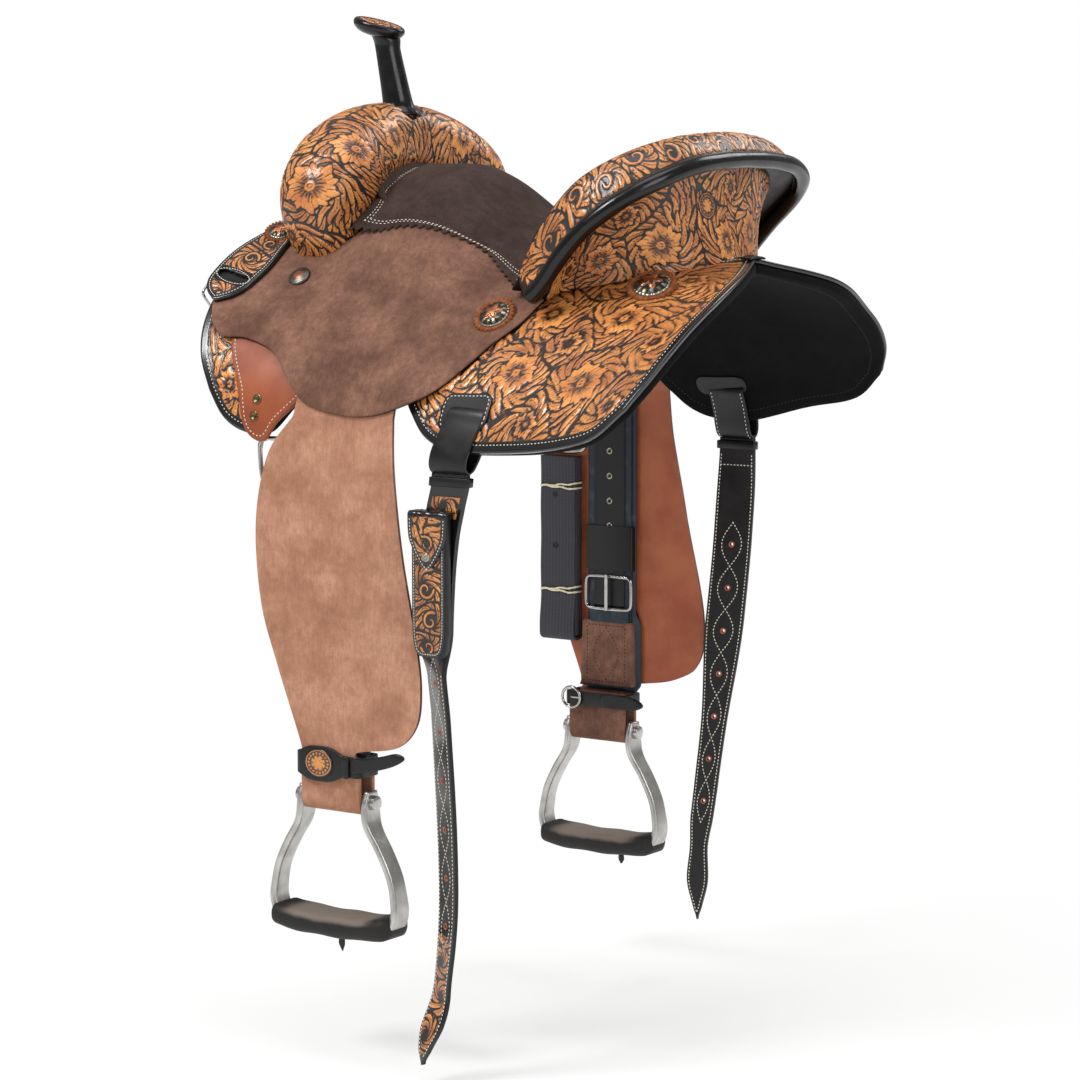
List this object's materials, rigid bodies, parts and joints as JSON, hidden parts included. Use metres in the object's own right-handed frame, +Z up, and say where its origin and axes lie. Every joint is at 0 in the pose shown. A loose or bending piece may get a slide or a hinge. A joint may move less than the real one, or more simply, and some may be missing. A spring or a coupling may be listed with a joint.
{
  "type": "barrel racing saddle",
  "caption": "Barrel racing saddle with tooled swell, deep dished cantle, suede seat, roughout jockeys and fenders, hanging stirrups and flank billets",
  "frame": {"origin": "On the centre plane, under the tree, where the ridge of a saddle rack carries the saddle", "axes": "+X to the near (left) side, -Y to the front, +Y to the cantle, +Z up"},
  "size_m": [0.5723, 0.6217, 1.0687],
  "materials": {
    "tooled_leather": "dyed russet, floral tooled, dark background",
    "jockey_roughout": "roughout, flesh side out",
    "fender_roughout": "roughout, flesh side out",
    "russet_leather": "smooth russet, oiled",
    "seat_suede": "dark suede over padding",
    "black_leather": "smooth black, waxed",
    "black_suede": "black suede over felt",
    "black_webbing": "woven nylon, doubled",
    "bare_wood": "sealed rawhide-covered wood",
    "stainless_steel": "polished stainless steel",
    "cast_aluminium": "satin cast aluminium"
  },
  "bodies": {
    "saddle": {"tree_fork": "bare_wood", "tree_near_bar": "bare_wood", "tree_off_bar": "bare_wood", "ground_seat": "russet_leather", "tree_cantle": "bare_wood", "horn_neck": "black_leather", "horn_cap": "tooled_leather", "swell_cover": "tooled_leather", "seat": "seat_suede", "near_jockey": "jockey_roughout", "off_jockey": "jockey_roughout", "cantle_back": "tooled_leather", "cantle_roll": "tooled_leather", "cantle_binding": "black_leather", "near_skirt": "tooled_leather", "off_skirt": "tooled_leather", "near_skirt_lining": "black_suede", "off_skirt_lining": "black_suede", "skirt_tie": "black_leather", "near_rigging_plate": "russet_leather", "off_rigging_plate": "russet_leather", "near_jockey_rosette": "tooled_leather", "off_jockey_rosette": "tooled_leather", "near_skirt_rosette": "tooled_leather", "off_skirt_rosette": "tooled_leather", "latigo_keeper": "tooled_leather", "keeper_rosette": "tooled_leather", "near_fender_top": "fender_roughout", "off_fender_top": "fender_roughout", "near_billet_loop": "black_leather", "off_billet_loop": "black_leather"},
    "near_leg": {"near_fender": "fender_roughout", "near_stirrup_leather": "fender_roughout", "near_hobble_strap": "black_leather", "near_stirrup_loop": "fender_roughout", "near_stirrup_bolt": "stainless_steel", "near_leather_buckle": "stainless_steel"},
    "near_keeper": {"near_leather_keeper": "black_leather"},
    "near_tongue": {"near_buckle_tongue": "stainless_steel"},
    "near_stirrup": {"near_stirrup_frame": "cast_aluminium", "near_stirrup_tread": "black_leather"},
    "near_billet": {"near_flank_billet": "black_leather", "hoof_pick_pouch": "tooled_leather"},
    "near_rig_ring": {"near_rigging_dee": "stainless_steel"},
    "near_collar_ring": {"near_breast_dee": "stainless_steel"},
    "off_leg": {"off_fender": "fender_roughout", "off_stirrup_leather": "fender_roughout", "off_hobble_strap": "black_leather", "off_stirrup_loop": "fender_roughout", "off_stirrup_bolt": "stainless_steel", "off_leather_buckle": "stainless_steel"},
    "off_keeper": {"off_leather_keeper": "black_leather"},
    "off_tongue": {"off_buckle_tongue": "stainless_steel"},
    "off_stirrup": {"off_stirrup_frame": "cast_aluminium", "off_stirrup_tread": "black_leather"},
    "off_billet": {"off_flank_billet": "black_leather"},
    "off_rig_ring": {"off_rigging_dee": "stainless_steel"},
    "off_collar_ring": {"off_breast_dee": "stainless_steel"},
    "latigo": {"latigo_strap": "black_webbing"},
    "flap": {"pouch_flap": "tooled_leather"}
  },
  "joints": [
    {"name": "near_fender_lift", "type": "hinge", "parent": "saddle", "child": "near_leg", "pos_m": [0.254, -0.081, -0.1165], "axis": [0, -1, 0], "range_deg": [0, 75]},
    {"name": "near_stirrup_swing", "type": "hinge", "parent": "near_leg", "child": "near_stirrup", "pos_m": [0.2512, -0.081, -0.4855], "axis": [0, -1, 0], "range_deg": [-40, 40]},
    {"name": "near_keeper_slide", "type": "slide", "parent": "near_leg", "child": "near_keeper", "axis": [0, 0, 1], "range_m": [0, 0.07]},
    {"name": "near_tongue_turn", "type": "hinge", "parent": "near_leg", "child": "near_tongue", "pos_m": [0.2458, -0.073, -0.3438], "axis": [0, -1, 0], "range_deg": [0, 60]},
    {"name": "near_billet_swing", "type": "hinge", "parent": "saddle", "child": "near_billet", "pos_m": [0.26628, 0.091, -0.14047], "axis": [0, -1, 0], "range_deg": [-30, 75]},
    {"name": "near_rig_ring_swing", "type": "hinge", "parent": "saddle", "child": "near_rig_ring", "pos_m": [0.254, -0.1685, -0.113], "axis": [0, -1, 0], "range_deg": [-35, 0]},
    {"name": "near_collar_ring_swing", "type": "hinge", "parent": "saddle", "child": "near_collar_ring", "pos_m": [0.19341, -0.299, 0.04217], "axis": [0.7516, 0, -0.6596], "range_deg": [-75, 40]},
    {"name": "off_fender_lift", "type": "hinge", "parent": "saddle", "child": "off_leg", "pos_m": [-0.254, -0.081, -0.1165], "axis": [0, 1, 0], "range_deg": [0, 75]},
    {"name": "off_stirrup_swing", "type": "hinge", "parent": "off_leg", "child": "off_stirrup", "pos_m": [-0.2512, -0.081, -0.4855], "axis": [0, 1, 0], "range_deg": [-40, 40]},
    {"name": "off_keeper_slide", "type": "slide", "parent": "off_leg", "child": "off_keeper", "axis": [0, 0, 1], "range_m": [0, 0.07]},
    {"name": "off_tongue_turn", "type": "hinge", "parent": "off_leg", "child": "off_tongue", "pos_m": [-0.2458, -0.073, -0.3438], "axis": [0, 1, 0], "range_deg": [0, 60]},
    {"name": "off_billet_swing", "type": "hinge", "parent": "saddle", "child": "off_billet", "pos_m": [-0.26628, 0.091, -0.14047], "axis": [0, 1, 0], "range_deg": [-30, 75]},
    {"name": "off_rig_ring_swing", "type": "hinge", "parent": "saddle", "child": "off_rig_ring", "pos_m": [-0.254, -0.1685, -0.113], "axis": [0, 1, 0], "range_deg": [-35, 0]},
    {"name": "off_collar_ring_swing", "type": "hinge", "parent": "saddle", "child": "off_collar_ring", "pos_m": [-0.19341, -0.299, 0.04217], "axis": [-0.7516, 0, -0.6596], "range_deg": [-40, 75]},
    {"name": "latigo_swing", "type": "hinge", "parent": "off_rig_ring", "child": "latigo", "pos_m": [-0.254, -0.142, -0.163], "axis": [0, 1, 0], "range_deg": [-25, 0]},
    {"name": "pouch_flap_lift", "type": "hinge", "parent": "near_billet", "child": "flap", "pos_m": [0.26963, 0.06, -0.17357], "axis": [0, -1, 0], "range_deg": [0, 85]}
  ]
}
